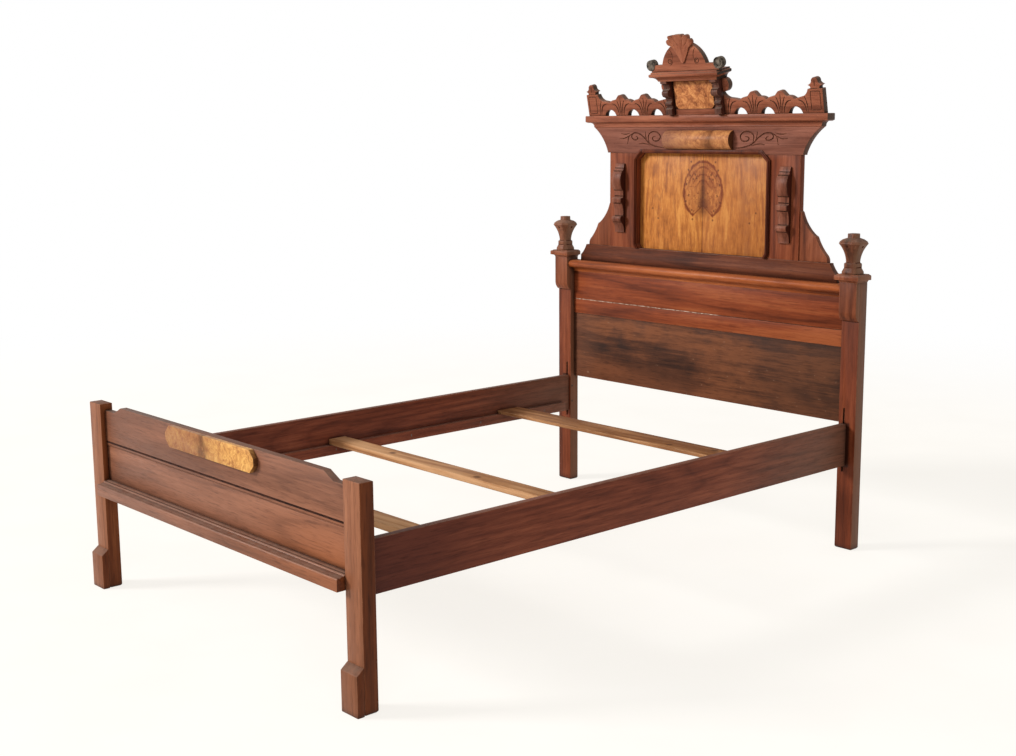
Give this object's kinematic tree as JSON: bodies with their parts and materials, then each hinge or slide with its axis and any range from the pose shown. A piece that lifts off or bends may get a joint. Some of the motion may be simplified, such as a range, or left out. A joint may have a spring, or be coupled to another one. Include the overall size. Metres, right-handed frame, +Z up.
{
  "type": "bed frame",
  "caption": "Carved walnut bed frame with a tall pedimented headboard, a low footboard and hook-on side rails whose ledgers carry loose slats for a mattress.",
  "frame": {"origin": "middle of the base rectangle, on the floor", "axes": "+X across the bed, to the right seen from the foot; +Y from foot to head; +Z up"},
  "size_m": [1.398, 2.022, 1.6729],
  "materials": {
    "walnut": "worn satin",
    "burl": "satin veneer",
    "pine": "bare, planed",
    "iron": "dull and dark",
    "steel": "dull"
  },
  "bodies": {
    "bed_ends": {"burl_leaf_left": "burl", "burl_leaf_right": "burl", "corbel_left": "walnut", "corbel_right": "walnut", "cornice": "walnut", "foot_block_left": "walnut", "foot_block_right": "walnut", "foot_bottom_rail": "walnut", "foot_panel": "walnut", "foot_post_left": "walnut", "foot_post_right": "walnut", "foot_tablet": "burl", "foot_top_board": "walnut", "frieze_board": "walnut", "frieze_tablet": "burl", "gallery_left": "walnut", "gallery_right": "walnut", "head_base_board": "walnut", "head_finial_left": "walnut", "head_finial_right": "walnut", "head_lower_board": "walnut", "head_middle_board": "walnut", "head_post_block_left": "walnut", "head_post_block_right": "walnut", "head_post_cap_left": "walnut", "head_post_cap_right": "walnut", "head_post_left": "walnut", "head_post_right": "walnut", "head_roll_rail": "walnut", "head_upper_board": "walnut", "hook_pins": "iron", "palmette": "walnut", "panel_bead_left": "walnut", "panel_bead_right": "walnut", "panel_bead_top": "walnut", "panel_ground": "walnut", "pediment": "walnut", "roundel_left": "walnut", "roundel_right": "walnut", "stile_left": "walnut", "stile_right": "walnut", "tower_board": "walnut", "tower_bracket_left": "walnut", "tower_bracket_right": "walnut", "tower_burl_panel": "burl", "tower_hood": "walnut", "tower_plinth": "walnut", "wing_left": "walnut", "wing_right": "walnut"},
    "left_rail": {"side_rail_left": "walnut", "ledger_left": "walnut", "rail_hooks_left": "iron", "ledger_nails_left": "steel"},
    "right_rail": {"side_rail_right": "walnut", "ledger_right": "walnut", "rail_hooks_right": "iron", "ledger_nails_right": "steel"},
    "slat_foot": {"slat_foot": "pine"},
    "slat_middle": {"slat_middle": "pine"},
    "slat_head": {"slat_head": "pine"}
  },
  "joints": [
    {"name": "left_rail_lift", "type": "slide", "parent": "bed_ends", "child": "left_rail", "axis": [0, 0, 1], "range_m": [0, 0.018]},
    {"name": "right_rail_lift", "type": "slide", "parent": "bed_ends", "child": "right_rail", "axis": [0, 0, 1], "range_m": [0, 0.018]},
    {"name": "slat_foot_lift", "type": "slide", "parent": "left_rail", "child": "slat_foot", "axis": [0, 0, 1], "range_m": [0, 0.3]},
    {"name": "slat_middle_lift", "type": "slide", "parent": "left_rail", "child": "slat_middle", "axis": [0, 0, 1], "range_m": [0, 0.3]},
    {"name": "slat_head_lift", "type": "slide", "parent": "left_rail", "child": "slat_head", "axis": [0, 0, 1], "range_m": [0, 0.3]}
  ],
  "couplings": [
    {"joint": "right_rail_lift", "follows": "left_rail_lift", "ratio": 1}
  ]
}
